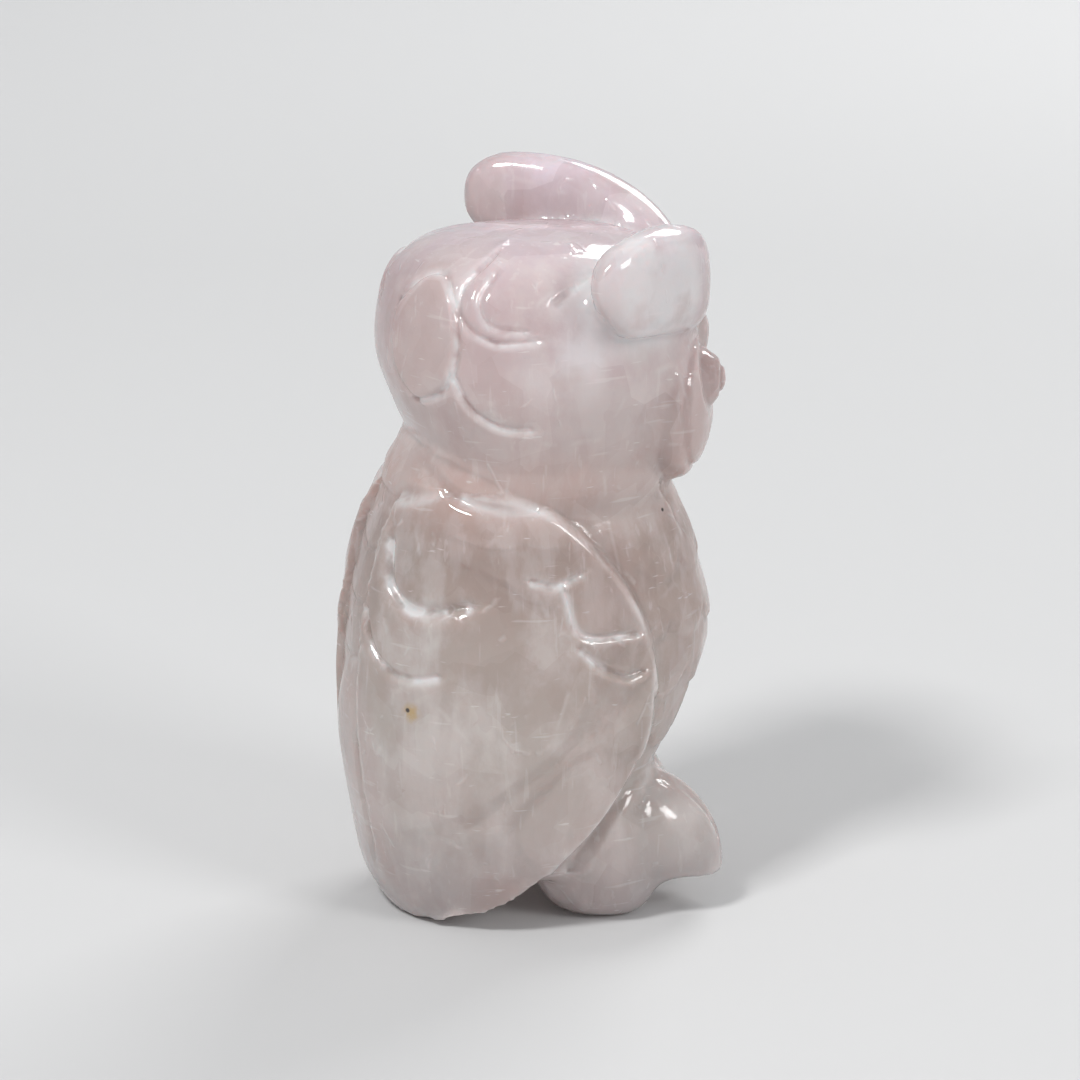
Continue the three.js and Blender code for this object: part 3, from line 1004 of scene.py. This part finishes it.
# %% Polish
gloss = reckoned("ADD", window(noise(240, 4), 0.40, 0.75, 0.10), 0.05)
links.new(gloss, surface.inputs["Roughness"])
ripple = nodes.new("ShaderNodeBump")
ripple.inputs["Strength"].default_value = 0.35
ripple.inputs["Distance"].default_value = 0.0003
links.new(reckoned("MULTIPLY_ADD", veil, 3.0, noise(330, 4)), ripple.inputs["Height"])
links.new(ripple.outputs["Normal"], surface.inputs["Normal"])
print("nodes in the stone:", len(nodes))

# %% [markdown]
# The one skin stands for every form of the solid model, since the real figure is one stone. It
# rides the only body.

# %% Dress the owl and tell the frame
owl.data.materials.clear()
owl.data.materials.append(stone)
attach(owl, "root")
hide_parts(*[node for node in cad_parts])
print("forms the skin stands for:", len(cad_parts))

# %% [markdown]
# ## Stage
# A long lens looks from the owl's right side, a little behind it and above it. Everything on the
# stage is placed from the three directions of that view: towards the camera, to the right and up.

# %% Directions of the view
CAMERA_TURN, CAMERA_RISE, CAMERA_REACH = 253.0, 17.0, 0.520
turn, rise = math.radians(CAMERA_TURN), math.radians(CAMERA_RISE)
level_back = np.array([math.sin(turn), -math.cos(turn), 0])
backward = level_back * math.cos(rise) + np.array([0, 0, math.sin(rise)])
rightward = np.array([math.cos(turn), math.sin(turn), 0.0])
upward = np.cross(backward, rightward)
print("towards the camera:", np.round(backward, 3).tolist())

# %% [markdown]
# The floor is a wide bowl of pale paper that sweeps up on all sides, so no view meets its edge. It
# is a profile carried round the upright.

# %% Floor that sweeps up all round
PROFILE = [(0.001, 0), (0.5, 0), (1.0, 0), (1.5, 0.05), (1.9, 0.35), (2.1, 0.9), (2.15, 1.6)]
sweep = through(PROFILE, np.linspace(0, 1, 50))
angle = np.linspace(0, 2 * math.pi, 96, endpoint=False)
out, up = sweep[:, :1], sweep[:, 1:]
bowl = np.stack([out * np.cos(angle), out * np.sin(angle), up + 0 * angle], axis=-1)
index = np.arange(bowl.shape[0] * bowl.shape[1]).reshape(bowl.shape[:2])
beside = np.roll(index, -1, axis=1)
faces = np.stack([index[:-1], index[1:], beside[1:], beside[:-1]], -1).reshape(-1, 4)
floor_mesh = bpy.data.meshes.new("floor")
floor_mesh.from_pydata(bowl.reshape(-1, 3).tolist(), [], [index[0].tolist()] + faces.tolist())
floor_mesh.polygons.foreach_set("use_smooth", np.ones(len(faces) + 1, bool))
floor = bpy.data.objects.new("floor", floor_mesh)
bpy.context.scene.collection.objects.link(floor)
print("faces of the floor:", len(floor_mesh.polygons))

# %% [markdown]
# Paper lit by small lamps falls off toward the back. It gets paler with the distance from the
# owl, which keeps the backdrop light without washing out the floor under the stone.

# %% Paper
paper = bpy.data.materials.new("paper")
paper.use_nodes = True
sheet, wires = paper.node_tree.nodes, paper.node_tree.links
sheet["Principled BSDF"].inputs["Roughness"].default_value = 0.9
away = sheet.new("ShaderNodeVectorMath")
away.operation = "LENGTH"
wires.new(sheet.new("ShaderNodeTexCoord").outputs["Object"], away.inputs[0])
fade = sheet.new("ShaderNodeMapRange")
for name, value in (("From Min", 0.4), ("From Max", 1.8), ("To Min", 0.54), ("To Max", 0.82)):
    fade.inputs[name].default_value = value
wires.new(away.outputs["Value"], fade.inputs["Value"])
wires.new(fade.outputs["Result"], sheet["Principled BSDF"].inputs["Base Color"])
floor_mesh.materials.append(paper)
print("nodes in the paper:", len(sheet))

# %% [markdown]
# A key lamp from the upper left draws the long highlights, a fill lamp from the right opens the
# shadows, and a broad lamp behind makes the tufts and the rim of the head glow.


# %% Lamps
def lamp(name, place, size, power):
    """A rectangle of light at the place, aimed at the middle of the owl."""
    light = bpy.data.lights.new(name, "AREA")
    light.shape = "RECTANGLE"
    light.size, light.size_y = size
    light.energy = power
    holder = bpy.data.objects.new(name, light)
    bpy.context.scene.collection.objects.link(holder)
    holder.location = place
    holder.rotation_mode = "QUATERNION"
    aim = np.array([0, 0, 0.05]) - np.array(place)
    holder.rotation_quaternion = Vector(aim).to_track_quat("-Z", "Y")


def around(side, out, up):
    """A place given from the camera's view: to the right, towards the camera, and up."""
    return (rightward * side + level_back * out + np.array([0, 0, up])).tolist()


lamp("key", around(-0.50, 0.55, 1.10), (0.24, 0.24), 10.5)
lamp("fill", around(0.80, 0.62, 0.62), (0.36, 0.36), 4.6)
lamp("rim", around(0.50, -0.90, 0.85), (0.70, 0.40), 8.0)
world = bpy.data.worlds.new("room")
world.use_nodes = True
world.node_tree.nodes["Background"].inputs["Color"].default_value = (0.95, 0.97, 1.0, 1)
world.node_tree.nodes["Background"].inputs["Strength"].default_value = 0.45
bpy.context.scene.world = world
bpy.context.scene.view_settings.view_transform = "Standard"
print("lamps:", len(bpy.data.lights))

# %% [markdown]
# The camera stands about five owl heights away, and the long lens keeps the figure's uprights
# almost parallel, as in a close study of a small object.

# %% Camera
camera_data = bpy.data.cameras.new("camera")
camera_data.lens = 126.9
camera_data.sensor_width = 36
camera_data.clip_start, camera_data.clip_end = 0.01, 20
camera = bpy.data.objects.new("camera", camera_data)
bpy.context.scene.collection.objects.link(camera)
target = np.array([0, 0, 0.050]) + rightward * 0.00156 + upward * 0.00031
camera.location = (target + backward * CAMERA_REACH).tolist()
camera.rotation_mode = "QUATERNION"
camera.rotation_quaternion = Vector(-backward).to_track_quat("-Z", "Y")
bpy.context.scene.camera = camera
print("camera at", np.round(np.array(camera.location), 3).tolist())
